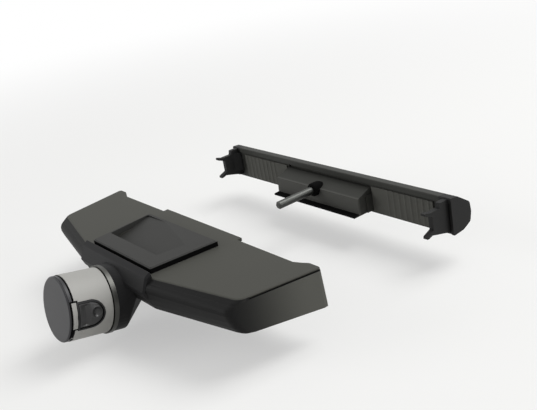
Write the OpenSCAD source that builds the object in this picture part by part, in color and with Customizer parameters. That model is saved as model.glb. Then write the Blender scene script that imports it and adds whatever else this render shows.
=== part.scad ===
// Headrest mount for a tablet holder: a rear unit with a quick-release socket and a
// front clamp bar, which close round the two posts of a car's headrest.
// Origin: on the clamp rod's axis, in the plane of the rear unit's two post pads.
// X runs along the mount, +Y towards the front of the car, +Z up the posts.

/* [Rear unit] */
// Width of the rear unit across its back ears
housing_w = 208.4; // [200:0.2:216]
// Width of the rear unit across its front corners
housing_front_w = 193; // [184:0.5:198]
// Width of the flat nose that carries the socket arm
nose_w = 73; // [68:0.5:78]
// Depth from the nose to the post pads
housing_d = 54.3; // [52:0.1:58]
// Depth from the front corners to the post pads
corner_d = 41; // [38:0.5:43]
// How far the back ears reach past the post pads
ear_d = 3.6; // [3:0.1:5]
// Height of the top face above the rod's axis
top_z = 10.3; // [10:0.1:12]
// Height of the front face
front_h = 19; // [18:0.1:20]
// Height of the back ears
back_h = 21.6; // [20.8:0.1:23]
// How far the rounded front stands out of the lid at the nose
nose_bulge = 4.6; // [3.6:0.1:5]
// How far the rounded front stands out of the lid at the front corners
corner_bulge = 6.2; // [4.6:0.1:7]
// Wall thickness of the housing
wall = 2.2; // [1.8:0.1:2.6]
// Thickness of the lid
lid_t = 1.8; // [1.5:0.1:2.2]

/* [Release slide] */
// Width of the slide at its front edge
slide_front_w = 66; // [62:0.5:68]
// Width of the slide at its back edge
slide_back_w = 73; // [70:0.5:78]
// Length of the slide
slide_l = 40; // [37:0.5:41]
// Height of the slide above the lid
slide_h = 3.4; // [3:0.1:4]
// Travel of the slide
slide_travel = 2; // [1.6:0.1:2.4]
// Depth of the finger recess at its deepest corner
recess_depth = 5.4; // [4.5:0.1:5.6]

/* [Socket] */
// Outer diameter of the socket sleeve
sleeve_d = 35.7; // [34:0.1:38]
// Length of the socket from the cap's face to the flange ring
socket_l = 24.6; // [23:0.1:28]
// Upward tilt of the socket, in degrees
socket_tilt = 12.45; // [8:0.05:15]
// Thickness of the end cap's disc
cap_t = 3.3; // [2.8:0.1:4]
// Diameter of the socket's bore
socket_bore_d = 23; // [20:0.5:24]
// Width of the release button
button_w = 13.6; // [12:0.1:14.5]
// Travel of the release button
button_travel = 2; // [1.5:0.1:2.1]

/* [Clamp rod and lock] */
// Diameter of the clamp rod
rod_d = 5; // [4.6:0.1:5.4]
// How far the rod stands out of the bar's centre block
rod_reach = 30; // [28:0.5:32]
// Distance from the rear unit's pads to the bar's face when closed
closed_gap = 11.2; // [10.4:0.2:12]
// Thickness of the lock plate
lock_t = 2; // [1.6:0.1:2.4]

/* [Clamp bar] */
// Width of the clamp bar
bar_w = 207; // [202:0.5:212]
// Height of the clamp bar
bar_h = 22.2; // [21:0.1:24]
// Depth of the clamp bar
bar_d = 15.5; // [14:0.1:18]
// Distance from the rear unit's pads to the bar's face when open
open_gap = 97.2; // [94:0.2:98]
// Width of the centre block
block_w = 79; // [76:0.5:80]

/* [Hidden] */

// Shared clearances and resolution
$fn = 48;
coil_steps = 14;
coil_sides = 6;
corner_steps = 5;
over = 0.5;
slice_t = 0.05;
fit_gap = 0.1;
run_gap = 0.05;
move_gap = 0.3;
half_turn = 180;
quarter_turn = 90;

// Colours
black_plastic = [0.13, 0.13, 0.14];
charcoal = [0.24, 0.24, 0.23];
graphite = [0.2, 0.2, 0.21];
silver = [0.78, 0.78, 0.75];
steel = [0.6, 0.61, 0.63];
brass = [0.7, 0.58, 0.32];
rubber = [0.08, 0.08, 0.08];

// Rear unit: heights and outline
split_z = top_z - lid_t;
front_floor_z = top_z - front_h;
ear_floor_z = top_z - back_h;
body_h = split_z - front_floor_z;
end_slope = (housing_w - housing_front_w) / 2 / (corner_d + ear_d);
plan_corner_r = 5;
ear_corner_r = 1.5;
// the rounded front from the lid down, as shares of the body's height and of the bulge
front_form_shares = [
    [0, 0.36], [0.04, 0.64], [0.1, 0.86], [0.18, 0.98], [0.28, 1],
    [0.5, 0.82], [0.72, 0.55], [0.9, 0.22], [0.97, -0.08], [1, -0.5]
];
lid_edge_r = 0.9;
lid_slices = 3;
pad_proud = 0.8;
seat_y = -pad_proud;
lip_w = 78.8;
lip_d = 2.2;
ear_w = 7.2;
ear_in_x = housing_w / 2 - ear_w;
slope_w = 4.7;
slope_x = ear_in_x - slope_w;
slope_y = 1.1;
recess_rim = 4.8;
recess_out_x = slope_x - recess_rim;
groove_h = 1.1;
groove_depth = 1.3;

// Lugs at the clamp bar's ends, which close into the ears
lug_w = 3.2;
lug_reach = 13.8;
prong_reach = 4;

// Rear unit: inside
pocket_gap = 0.8;
pocket_w = block_w + 2 * pocket_gap;
pocket_y = -4.4;
back_wall = 5.2;
cavity_y = pocket_y - back_wall;
core_back_y = -5.2;
core_w = 20;
core_gap = 3;
core_share = 0.62;
ear_pocket_gap = 0.7;
ear_pocket_w = lug_w + 2 * ear_pocket_gap;
ear_pocket_reach = 1.3;
ear_pocket_y = closed_gap - lug_reach - prong_reach - ear_pocket_reach;
screw_place_shares = [[0.826, 0.73], [0.5, 1.05], [0.56, 0.42]];
screw_places = [for (p = screw_place_shares) [p.x * housing_w / 2, -p.y * corner_d]];
boss_r = 3.4;
boss_drop = 6;
boss_split_z = top_z - boss_drop;
screw_r = 1.25;
screw_head_r = 2.7;
screw_head_t = 1.8;
screw_cover = 0.6;
screw_top_z = split_z - screw_cover;

// Post pads
pad_t = 2.8;
pad_margin = 2;
pad_inset = 2.5;
pad_out_x = recess_out_x - pad_inset;
pad_low_z = -8;
pad_high_z = 7;
pad_groove_w = 1;
pad_groove_d = 0.5;
pad_grooves = 9;

// Release slide
slide_setback = 3;
slide_front_y = -housing_d + slide_setback;
slide_back_y = slide_front_y + slide_l;
slide_lift = 0.15;
slide_edge_r = 0.7;
slide_top_z = top_z + slide_h;
recess_left_rim = 1.4;
recess_front_rim = 10.5;
recess_back_rim = 2.2;
recess_front_x = 22;
recess_back_x = 27;
recess_right_depth = 2.9;
recess_back_depth = 0.8;
recess_corner_r = 1.2;
pan_wall = 1.3;
pan_z = slide_top_z - recess_depth - pan_wall;
window_w = 65.4;
window_front_rim = 6;
window_back_rim = 5;
window_front_y = slide_front_y + window_front_rim;
window_back_y = slide_back_y - window_back_rim;
window_r = 2;
pan_gap = 0.5;
pan_x = window_w / 2 - pan_gap;
slide_post_x = 23;
slide_post_inset = 12.2;

// Lock plate: it leans back by half its swing and is pushed upright by the slide
pivot_y = -17.5;
pivot_z = -4.3;
pivot_r = 1.2;
push_z = 5.8;
lever = push_z - pivot_z;
lock_swing = asin(slide_travel / lever);
lock_lean = lock_swing / 2;
lock_gap = 0.06;
lock_hole_r = rod_d / 2 / cos(lock_lean) + lock_t / 2 * tan(lock_lean) + lock_gap;
lock_w = 24;
lock_waist_w = 16;
lock_top_z = 6.6;
pivot_ear_w = 4;
pivot_w = lock_w + 2 * pivot_ear_w;
bearing_w = 3;
bearing_depth = 6;

// Slide fork
fork_t = 1.5;
fork_top_z = pan_z;
fork_w = 54;
fork_prong_w = 4;
fork_prong_x = 9;
fork_prong_t = 1.8;
fork_prong_low_z = 4.6;
fork_prong_gap = 0.15;
fork_prong_y = pivot_y + lever * sin(lock_lean) + lock_t / 2 + fork_prong_gap;
fork_back_y = fork_prong_y + fork_prong_t;
fork_tab_w = 8;
fork_tab_t = 1.4;
spring_x = 20;
spring_z = 2.6;
fork_tab_y = -28;
fork_tab_rim = 3;
// the posts stand inside the lid's window and over the fork
fork_post_reach = 9.6;
fork_post_rim = 7.5;
slide_post_y = min(slide_back_y - slide_post_inset, fork_back_y - fork_post_reach);
fork_front_y = min(slide_post_y - fork_post_rim, fork_tab_y - fork_tab_rim);
fork_tab_low_z = -0.4;
fork_window_gap = 1;
fork_screw_grip = 2.2;
fork_screw_top_z = pan_z + fork_screw_grip;

// Springs: mean radius, wire radius, turns
slide_coil_r = 2.1;
slide_wire_r = 0.3;
slide_turns = 6;
slide_spring_l = 9;
lock_coil_r = 3.6;
lock_wire_r = 0.35;
lock_turns = 5;
lock_spring_l = 10;
button_coil_r = 2.2;
button_wire_r = 0.25;
button_turns = 3;
seat_rib_t = 2;
seat_rib_top_z = 4.4;
seat_hole_gap = 0.5;
seat_hole_r = rod_d / 2 + seat_hole_gap;

// Rod guide bush
guide_r = 4.6;
guide_flange_r = 6.4;
guide_flange_t = 1.1;
guide_l = 8.6;
guide_boss_r = 6.6;

// Socket arm: outline of the barrel-shaped front band, in the YZ plane
arm_back_y = -housing_d - fit_gap;
band_w = 75;
band_end_taper = 1.2;
band_d = 6.1;
band_rise = 3.3;
band_drop = 14.4;
band_top_z = top_z + band_rise;
band_low_z = top_z - band_drop;
band_edge_r = 1.1;
band_hook = 0.8;
band_hook_r = 0.3;
band_back = 2.4;
// the band's corners from top to bottom, as shares of its depth and height
band_form_shares = [[0.43, 0.887], [1, 0.463], [0.72, 0.22], [0.2, 0.068]];
neck_w = 40;
neck_h = 18;
neck_drop = 19.2;
neck_low_z = top_z - neck_drop;
neck_foot_w = 20;
neck_foot_d = 7;
neck_foot_t = 1.2;
neck_flange_t = 7;
neck_fn = 32;
arm_screw_x = 12;
arm_screw_z = 1;
arm_screw_r = 1.6;
arm_screw_head_r = 3;
arm_screw_head_t = 2;
arm_screw_l = 9;
nose_wall = 4;

// Socket: s runs along the socket's axis from the cap's face
arm_reach = 15.4;
flange_y = -housing_d - arm_reach;
flange_z = -6.7;
flange_r = 18.7;
flange_t = 2.8;
flange_chamfer = 0.5;
sleeve_r = sleeve_d / 2;
sleeve_wall = 1.5;
sleeve_gap = 0.2;
core_r = sleeve_r - sleeve_wall - fit_gap;
bore_r = socket_bore_d / 2;
bore_depth = 17;
lead_in = 0.8;
cap_step = 0.25;
cap_r = sleeve_r - cap_step;
cap_edge_r = 0.6;
cap_skin = 1;
spigot_l = 8.6;
spigot_wall = 1.6;
spigot_gap = 0.25;
spigot_r = bore_r - spigot_gap;
ring_groove_r = 0.9;
ring_wire_r = 0.45;
notch_from = -46;
notch_to = 27;
tab_gap = 0.5;
core_screw_r = 2;
core_screw_head_r = 3.8;
core_screw_head_t = 2.4;
core_screw_l = 9;

// Release button and latch
button_front_s = 5.3;
button_l = 13.4;
bezel_w = 0.9;
bezel_proud = 0.25;
bezel_depth = 1.4;
window_gap = 0.1;
button_inner_x = 14.5;
button_floor_x = 12.3;
button_sink = 0.3;
dish_r = 5.2;
dish_depth = 0.9;
dish_sphere_r = dish_r * dish_r / (2 * dish_depth) + dish_depth / 2;
latch_s = 13.2;
latch_t = 2.6;
latch_half_h = 13;
latch_tooth = 1;
latch_slot_gap = 0.2;
latch_out_x = button_inner_x - fit_gap;
latch_in_x = -13.6;

// Clamp bar: section and centre block, in the YZ plane
bar_y = open_gap;
bar_top_z = 10;
bar_low_z = bar_top_z - bar_h;
bar_back_y = bar_y + bar_d;
bar_edge_r = 3;
// the bar's corners from its face's top edge, as shares of its depth, height and edge radius
bar_form_shares = [
    [0, 1, 0.2], [0.35, 0.98, 1], [0.96, 0.685, 1], [1, 0.42, 1],
    [0.92, 0.16, 1], [0.52, 0.03, 0.7], [0, 0, 0.2]
];
face_recess = 1;
face_rim_top = 3.3;
face_rim_end = 1.6;
bar_wall = 2;
block_reach = 11;
block_front_y = bar_y - block_reach;
block_top_z = 4.3;
block_low_z = -10.3;
block_lip = 3.9;
block_lip_t = 1.2;
block_fall = 3.8;
block_lean = 0.8;
flank_w = 0.9;
flank_d = 4.5;
slot_h = bar_top_z - face_rim_top - block_top_z;
slot_depth = 2.4;
lug_inset = 2.5;
lug_out_x = bar_w / 2 - lug_inset;
lug_y = bar_y - lug_reach;
lug_high_z = 6.3;
lug_low_z = -6.9;
lug_fillet_l = 5;
lug_fillet_w = 2.4;
lug_root_d = 5.7;
lug_root_rise = 2.9;
lug_root_drop = 3.6;
prong_y = lug_y - prong_reach;
prong_t = 1.3;
prong_flare = 0.9;

// Bar pads
bar_rib_w = 1.5;
bar_pad_gap = 0.4;
bar_pad_from = block_w / 2 + flank_w + bar_pad_gap;
bar_pad_inset = 13.5;
bar_pad_to = bar_w / 2 - bar_pad_inset;
bar_pad_t = 1;
bar_rib_pitch = 4.6;
bar_rib_start = 14.2;
bar_rib_to = bar_pad_to - 2 * bar_rib_w;
bar_rib_from = bar_pad_from + bar_rib_start;
bar_rib_count = 1 + round((bar_rib_to - bar_rib_from) / bar_rib_pitch);
bar_rib_h = 0.8;
bar_pad_edge = 1.2;

// Clamp rod and its fixing
rod_chamfer = 0.8;
rod_tip_y = block_front_y - rod_reach;
rod_socket_r = 3.6;
rod_socket_depth = 3;
nut_pocket_r = 4.6;
nut_pocket_depth = 5.3;
nut_pocket_y = bar_y + nut_pocket_depth;
washer_r = 4.4;
washer_t = 1;
nut_flats = 7;
nut_t = 3.2;
rod_tail = 0.5;
cover_w = 38;
cover_low_z = -7;
cover_high_z = 4.4;
cover_depth = 3.1;
cover_r = 3;

// Points on a circle from angle a0 to a1
function arc_points(c, r, a0, a1, n) =
    [for (i = [0:n]) let (a = a0 + (a1 - a0) * i / n) c + r * [cos(a), sin(a)]];

// One corner of an outline, rounded with radius r
function turn_between(a0, a1) = (a1 - a0 + 3 * half_turn) % (2 * half_turn) - half_turn;
function rounded_corner(a, p, b, r) =
    r == 0 ? [p] :
    let (
        u = (a - p) / norm(a - p),
        v = (b - p) / norm(b - p),
        half = acos(u * v) / 2,
        c = p + (u + v) / norm(u + v) * r / sin(half),
        s = p + u * r / tan(half) - c,
        e = p + v * r / tan(half) - c,
        a0 = atan2(s.y, s.x)
    )
    arc_points(c, r, a0, a0 + turn_between(a0, atan2(e.y, e.x)), corner_steps);

// An outline from corners given as [x, y, radius]
function flat_point(p) = [p.x, p.y];
function rounded(corners) =
    let (n = len(corners))
    [for (i = [0:n - 1]) each rounded_corner(
        flat_point(corners[(i + n - 1) % n]),
        flat_point(corners[i]),
        flat_point(corners[(i + 1) % n]),
        corners[i].z)];

// Draws a YZ outline as a bar along X, centred, w wide
module along_x(w) {
    rotate([quarter_turn, 0, quarter_turn])
        translate([0, 0, -w / 2]) linear_extrude(w) children();
}

// Draws a cylinder along +Y from y0 to y1
module y_rod(r, y0, y1) {
    translate([0, y0, 0]) rotate([-quarter_turn, 0, 0]) cylinder(r = r, h = y1 - y0);
}

module both_sides() {
    for (side = [0, 1]) mirror([side, 0, 0]) children();
}

// A coil along +Y with round wire
function coil_point(r, l, turns, t) =
    [r * cos(2 * half_turn * turns * t), l * t, r * sin(2 * half_turn * turns * t)];
module coil(r, wire_r, l, turns) {
    rings = round(turns * coil_steps);
    points = [for (i = [0:rings]) let (
        t = i / rings,
        c = coil_point(r, l, turns, t),
        out = [c.x, 0, c.z] / r
    ) for (j = [0:coil_sides - 1]) let (b = 2 * half_turn * j / coil_sides)
        c + wire_r * (cos(b) * out + sin(b) * [0, 1, 0])];
    sides = [for (i = [0:rings - 1], j = [0:coil_sides - 1]) let (
        k = (j + 1) % coil_sides,
        low = i * coil_sides,
        high = low + coil_sides
    ) [low + j, low + k, high + k, high + j]];
    start = [[for (j = [coil_sides - 1:-1:0]) j]];
    end = [[for (j = [0:coil_sides - 1]) rings * coil_sides + j]];
    polyhedron(points = points, faces = concat(sides, start, end));
}

// Outline of the rear unit with straight back, moved in by inset, with its front moved out by
// a share of the bulge
function housing_plan(inset, bulge = 0) =
    let (
        back_x = housing_w / 2 - inset,
        nose_y = -housing_d - bulge * nose_bulge + inset,
        corner_y = -corner_d - bulge * corner_bulge + inset,
        corner_x = housing_front_w / 2 - end_slope * bulge * corner_bulge - inset
    )
    rounded([
        [nose_w / 2, nose_y, 2 * plan_corner_r],
        [corner_x, corner_y, plan_corner_r - inset / 2],
        [back_x, ear_d - inset, ear_corner_r],
        [-back_x, ear_d - inset, ear_corner_r],
        [-corner_x, corner_y, plan_corner_r - inset / 2],
        [-nose_w / 2, nose_y, 2 * plan_corner_r]
    ]);

// Body of the rear unit up to height top: its front is rounded and its floor falls to the ears
module housing_form(inset, top) {
    hull() {
        translate([0, 0, top - slice_t]) linear_extrude(slice_t)
            polygon(housing_plan(inset, front_form_shares[0].y));
        for (p = front_form_shares)
            translate([0, 0, split_z - p.x * (body_h - inset) - slice_t]) linear_extrude(slice_t)
                polygon(housing_plan(inset, p.y));
        both_sides() translate([
            housing_w / 2 - inset - wall, ear_d - inset - wall, ear_floor_z + inset
        ]) cube([wall, wall, wall]);
    }
}

// What the centre lip, post recesses and ears leave free behind the rear unit
module back_clearance() {
    far = ear_d + 2 * over;
    half = [
        [ear_in_x, far], [ear_in_x, ear_d], [slope_x, slope_y], [recess_out_x, seat_y],
        [lip_w / 2, seat_y], [lip_w / 2, lip_d]
    ];
    other = [for (i = [len(half) - 1:-1:0]) [-half[i].x, half[i].y]];
    translate([0, 0, -housing_d]) linear_extrude(2 * housing_d) polygon(concat(half, other));
}

module screw_boss(r, z0, z1) {
    translate([0, 0, z0]) cylinder(r = r, h = z1 - z0);
}

module post_pad_place(grow) {
    translate([lip_w / 2 + pad_margin - grow, -pad_t - grow / 2, pad_low_z - grow])
        cube([pad_out_x - lip_w / 2 - pad_margin + 2 * grow, pad_t + grow,
            pad_high_z - pad_low_z + 2 * grow]);
}

// Ribs, bosses and bearings that stand inside the lower housing
module housing_inside() {
    intersection() {
        housing_form(wall / 2, split_z);
        union() {
            both_sides() for (p = screw_places)
                translate([p.x, p.y, 0]) screw_boss(boss_r, -housing_d, boss_split_z);
            // boss behind the back wall for the rod guide
            y_rod(guide_boss_r, pocket_y - guide_l, pocket_y);
            translate([-guide_boss_r, pocket_y - guide_l, -housing_d])
                cube([2 * guide_boss_r, guide_l, housing_d]);
            // seat rib of the lock spring
            translate([-lock_w / 2, lock_seat_y - seat_rib_t, -housing_d])
                cube([lock_w, seat_rib_t, housing_d + seat_rib_top_z]);
            both_sides() {
                // seat ribs of the slide springs
                translate([spring_x - fork_tab_w / 2, slide_seat_y - seat_rib_t, -housing_d])
                    cube([fork_tab_w, seat_rib_t, housing_d + seat_rib_top_z]);
                // bearings of the lock plate's pivot
                translate([lock_w / 2 + (pivot_ear_w - bearing_w) / 2, pivot_y - bearing_depth / 2,
                    -housing_d]) cube([bearing_w, bearing_depth, housing_d + pivot_z + pivot_r]);
            }
        }
    }
}
lock_seat_y = pivot_y + (0 - pivot_z) * sin(lock_lean) - lock_t / 2 - lock_spring_l - fit_gap;
slide_seat_y = fork_tab_y - slide_spring_l - 2 * fit_gap;

module lower_housing() {
    color(black_plastic) difference() {
        union() {
            difference() {
                housing_form(0, split_z);
                // hollow
                difference() {
                    housing_form(wall, split_z + wall + over);
                    translate([-housing_w, cavity_y, -housing_d])
                        cube([2 * housing_w, housing_d, 2 * housing_d]);
                    translate([-housing_w, nose_inner_y - 2 * housing_d, -housing_d])
                        cube([2 * housing_w, 2 * housing_d, 2 * housing_d]);
                }
                // cores in the back wall, between its ribs
                both_sides() for (k = [0, 1])
                    translate([lip_w / 2 + core_gap + k * (core_w + core_gap), cavity_y - over,
                        -core_share * top_z])
                        cube([core_w, core_back_y - cavity_y + over, housing_d]);
            }
            housing_inside();
        }
        back_clearance();
        // pocket under the centre lip for the bar's block
        translate([-pocket_w / 2, pocket_y, -housing_d])
            cube([pocket_w, housing_d, 2 * housing_d]);
        both_sides() {
            // pockets for the bar's end lugs
            translate([lug_out_x + move_gap - ear_pocket_w, ear_pocket_y, -housing_d])
                cube([ear_pocket_w, housing_d, 2 * housing_d]);
            post_pad_place(run_gap);
            for (p = screw_places) translate([p.x, p.y, 0]) {
                screw_boss(screw_r + fit_gap, -housing_d, top_z);
                screw_boss(screw_head_r + fit_gap, -housing_d, screw_seat_z);
            }
            translate([arm_screw_x, 0, arm_screw_z])
                y_rod(arm_screw_r + fit_gap, -2 * housing_d, nose_inner_y + over);
            // open-topped bearing for the lock plate's pivot
            translate([lock_w / 2 - over, pivot_y, pivot_z]) rotate([0, quarter_turn, 0])
                cylinder(r = pivot_r + run_gap, h = pivot_ear_w + 2 * over);
            translate([lock_w / 2 - over, pivot_y - pivot_r - run_gap, pivot_z])
                cube([pivot_ear_w + 2 * over, 2 * (pivot_r + run_gap), housing_d]);
        }
        y_rod(guide_r, -housing_d / 2, lip_d);
        y_rod(seat_hole_r, lock_seat_y - seat_rib_t - over, lock_seat_y + over);
    }
}
screw_seat_z = front_floor_z + wall + screw_head_t / 2;
nose_inner_y = -housing_d - nose_bulge + nose_wall;

// Lid with a softened upper edge
module lid_form() {
    hull() for (k = [0:lid_slices]) {
        a = quarter_turn * k / lid_slices;
        translate([0, 0, k == 0 ? split_z : top_z - lid_edge_r + lid_edge_r * sin(a) - slice_t])
            linear_extrude(slice_t) polygon(housing_plan(lid_edge_r * (1 - cos(a))));
    }
}

module upper_housing() {
    color(charcoal) difference() {
        union() {
            difference() {
                lid_form();
                back_clearance();
            }
            both_sides() for (p = screw_places)
                translate([p.x, p.y, 0]) screw_boss(boss_r, boss_split_z, split_z + slice_t);
        }
        // window that the release slide reaches through
        translate([0, 0, split_z - over]) linear_extrude(lid_t + 2 * over) polygon(rounded([
            [-window_w / 2, window_front_y, window_r], [window_w / 2, window_front_y, window_r],
            [window_w / 2, window_back_y, window_r], [-window_w / 2, window_back_y, window_r]
        ]));
        both_sides() {
            for (p = screw_places)
                translate([p.x, p.y, 0]) screw_boss(screw_r + run_gap, boss_split_z - over, screw_top_z);
            // shadow groove along each end
            hull() for (p = [[housing_front_w / 2, -corner_d], [housing_w / 2, ear_d + over]])
                translate([p.x - groove_depth, p.y - over, split_z - over])
                    cube([2 * groove_depth, over, groove_h + over]);
        }
    }
}

module housing_screws() {
    color(steel) both_sides() for (p = screw_places) translate([p.x, p.y, 0]) {
        screw_boss(screw_r, screw_seat_z - slice_t, screw_top_z - fit_gap);
        screw_boss(screw_head_r, screw_seat_z - screw_head_t, screw_seat_z);
    }
}

module post_pad() {
    color(rubber) difference() {
        post_pad_place(0);
        step = (pad_high_z - pad_low_z) / pad_grooves;
        for (k = [1:pad_grooves - 1])
            translate([0, -pad_groove_d, pad_low_z + k * step - pad_groove_w / 2])
                cube([housing_w, pad_groove_d + over, pad_groove_w]);
    }
}

module post_pad_left() {
    mirror([1, 0, 0]) post_pad();
}

module post_pad_right() {
    post_pad();
}

// Raised panel of the release slide, with softened upper edges
module slide_panel() {
    hull() for (k = [0:2]) {
        inset = k == 0 ? 0 : slide_edge_r * (k - 1);
        z = [top_z + slide_lift, slide_top_z - slide_edge_r, slide_top_z - slice_t][k];
        translate([0, 0, z]) linear_extrude(slice_t) polygon(slide_plan(inset));
    }
}
function slide_plan(inset) = rounded([
    [-slide_front_w / 2 + inset, slide_front_y + inset, slide_edge_r],
    [slide_front_w / 2 - inset, slide_front_y + inset, slide_edge_r],
    [slide_back_w / 2 - inset, slide_back_y - inset, slide_edge_r],
    [-slide_back_w / 2 + inset, slide_back_y - inset, slide_edge_r]
]);

// Finger recess: a sloping floor, deepest at its front left corner
module finger_recess(lower) {
    front_y = slide_front_y + recess_front_rim;
    back_y = slide_back_y - recess_back_rim;
    front_x = -slide_front_w / 2 + recess_left_rim;
    back_x = -slide_back_w / 2 + recess_left_rim;
    rise_x = (recess_depth - recess_right_depth) / (recess_front_x - front_x);
    rise_y = (recess_depth - recess_back_depth) / (back_y - front_y);
    intersection() {
        translate([0, 0, -housing_d]) linear_extrude(2 * housing_d) polygon(rounded([
            [front_x, front_y, recess_corner_r], [recess_front_x, front_y, recess_corner_r],
            [recess_back_x, back_y, recess_corner_r], [back_x, back_y, recess_corner_r]
        ]));
        translate([front_x, front_y, slide_top_z - recess_depth - lower])
            rotate([atan(rise_y), -atan(rise_x), 0])
            translate([-housing_d, -housing_d, 0]) cube([3 * housing_d, 3 * housing_d, housing_d]);
    }
}

module release_slide() {
    color(graphite) difference() {
        union() {
            slide_panel();
            // pan that holds the deep end of the recess
            translate([0, 0, pan_z]) linear_extrude(slide_top_z - slide_edge_r - pan_z)
                polygon(rounded([
                    [-pan_x, slide_front_y + recess_front_rim - pan_wall, recess_corner_r],
                    [pan_x, slide_front_y + recess_front_rim - pan_wall, recess_corner_r],
                    [pan_x, window_back_y - pan_gap, recess_corner_r],
                    [-pan_x, window_back_y - pan_gap, recess_corner_r]
                ]));
        }
        finger_recess(0);
        both_sides() translate([slide_post_x, slide_post_y, 0])
            screw_boss(screw_r + run_gap, pan_z - over, fork_screw_top_z + fit_gap);
    }
}

module slide_fork() {
    color(steel) difference() {
        union() {
            translate([-fork_w / 2, fork_front_y, fork_top_z - fork_t])
                cube([fork_w, fork_back_y - fork_front_y, fork_t]);
            both_sides() {
                translate([fork_prong_x - fork_prong_w / 2, fork_prong_y, fork_prong_low_z])
                    cube([fork_prong_w, fork_prong_t, fork_top_z - fork_prong_low_z]);
                translate([spring_x - fork_tab_w / 2, fork_tab_y, fork_tab_low_z])
                    cube([fork_tab_w, fork_tab_t, fork_top_z - fork_tab_low_z]);
            }
        }
        // clearance for the lock plate's top edge
        translate([-lock_w / 2 - fork_window_gap, fork_front_y + fork_t, fork_top_z - fork_t - over])
            cube([lock_w + 2 * fork_window_gap, fork_prong_y - fork_front_y - fork_t, fork_t + 2 * over]);
        both_sides() translate([slide_post_x, slide_post_y, 0])
            screw_boss(screw_r + fit_gap, fork_top_z - fork_t - over, fork_top_z + over);
    }
}

module fork_screws() {
    color(steel) both_sides() translate([slide_post_x, slide_post_y, 0]) {
        screw_boss(screw_r, fork_top_z - fork_t - slice_t, fork_screw_top_z);
        screw_boss(screw_head_r, fork_top_z - fork_t - screw_head_t, fork_top_z - fork_t);
    }
}

module slide_spring() {
    color(steel) translate([spring_x, slide_seat_y + fit_gap + slide_wire_r, spring_z])
        coil(slide_coil_r, slide_wire_r, slide_spring_l - 2 * slide_wire_r, slide_turns);
}

module slide_spring_left() {
    mirror([1, 0, 0]) slide_spring();
}

module slide_spring_right() {
    slide_spring();
}

module rod_guide() {
    color(brass) difference() {
        union() {
            y_rod(guide_r - slice_t, pocket_y - guide_l, pocket_y);
            y_rod(guide_flange_r, pocket_y, pocket_y + guide_flange_t);
        }
        y_rod(rod_d / 2 + run_gap, pocket_y - guide_l - over, pocket_y + guide_flange_t + over);
    }
}

// Stamped plate that tilts to grip the rod
module lock_plate() {
    half_top = fork_prong_x + fork_prong_w / 2;
    color(steel) translate([0, pivot_y, pivot_z]) rotate([-lock_lean, 0, 0])
    translate([0, 0, -pivot_z]) difference() {
        union() {
            translate([0, lock_t / 2, 0]) rotate([quarter_turn, 0, 0]) linear_extrude(lock_t)
                polygon(rounded([
                    [-lock_w / 2, pivot_z - pivot_r, 0], [lock_w / 2, pivot_z - pivot_r, 0],
                    [lock_w / 2, pivot_z + pivot_r, 0], [lock_waist_w / 2, 0, lock_t],
                    [half_top, push_z - lock_t, 0], [half_top, lock_top_z, 0],
                    [-half_top, lock_top_z, 0], [-half_top, push_z - lock_t, 0],
                    [-lock_waist_w / 2, 0, lock_t], [-lock_w / 2, pivot_z + pivot_r, 0]
                ]));
            translate([-pivot_w / 2, 0, pivot_z]) rotate([0, quarter_turn, 0])
                cylinder(r = pivot_r, h = pivot_w);
        }
        y_rod(lock_hole_r, -lock_t, lock_t);
    }
}

module lock_spring() {
    color(steel) translate([0, lock_seat_y + lock_wire_r, 0])
        coil(lock_coil_r, lock_wire_r, lock_spring_l - 2 * lock_wire_r - fit_gap, lock_turns);
}

// Places children on the socket's axis, which then runs along +Z from the cap's face
module on_socket(s) {
    translate([0, flange_y, flange_z]) rotate([-quarter_turn - socket_tilt, 0, 0])
        translate([0, 0, s - socket_l]) children();
}

// Outline of the arm's front band: a barrel with flats, hooked over the housing's top edge and
// moved in by inset
module band_outline(inset) {
    band_h = band_top_z - band_low_z - 2 * inset;
    polygon(rounded(concat(
        [[arm_back_y + band_hook, band_top_z - inset, band_hook_r]],
        [for (p = band_form_shares)
            [-housing_d - p.x * (band_d - inset), band_low_z + inset + p.y * band_h, band_edge_r]],
        [
            [arm_back_y + band_back, band_low_z + inset, 0],
            [arm_back_y + band_hook, top_z, 0]
        ]
    )));
}

module socket_arm() {
    color(graphite) difference() {
        union() {
            // band with tapered ends
            hull() {
                along_x(band_w) band_outline(band_end_taper);
                along_x(band_w - 2 * band_end_taper) band_outline(0);
            }
            // neck from the flange back to the housing's lower front edge
            hull() {
                on_socket(socket_l + flange_t)
                    cylinder(r = flange_r - flange_chamfer, h = neck_flange_t);
                translate([0, arm_back_y, neck_low_z + neck_h / 2])
                    rotate([quarter_turn, 0, 0]) scale([neck_w / neck_h, 1, 1])
                    cylinder(d = neck_h, h = slice_t, $fn = neck_fn);
                translate([-neck_foot_w / 2, arm_back_y, neck_low_z - neck_foot_t])
                    cube([neck_foot_w, neck_foot_d, neck_foot_t]);
            }
        }
        housing_form(-fit_gap, split_z + fit_gap);
        translate([-band_w, arm_back_y, split_z - wall])
            cube([2 * band_w, housing_d, lid_t + wall + fit_gap]);
        both_sides() translate([arm_screw_x, 0, arm_screw_z])
            y_rod(arm_screw_r + run_gap, arm_screw_tip_y - fit_gap, 0);
        on_socket(socket_l - over) cylinder(r = core_screw_r + run_gap, h = core_screw_l);
    }
}
arm_screw_tip_y = nose_inner_y - arm_screw_l;

module arm_screws() {
    color(steel) both_sides() translate([arm_screw_x, 0, arm_screw_z]) {
        y_rod(arm_screw_r, arm_screw_tip_y, nose_inner_y + slice_t);
        y_rod(arm_screw_head_r, nose_inner_y, nose_inner_y + arm_screw_head_t);
    }
}

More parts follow.
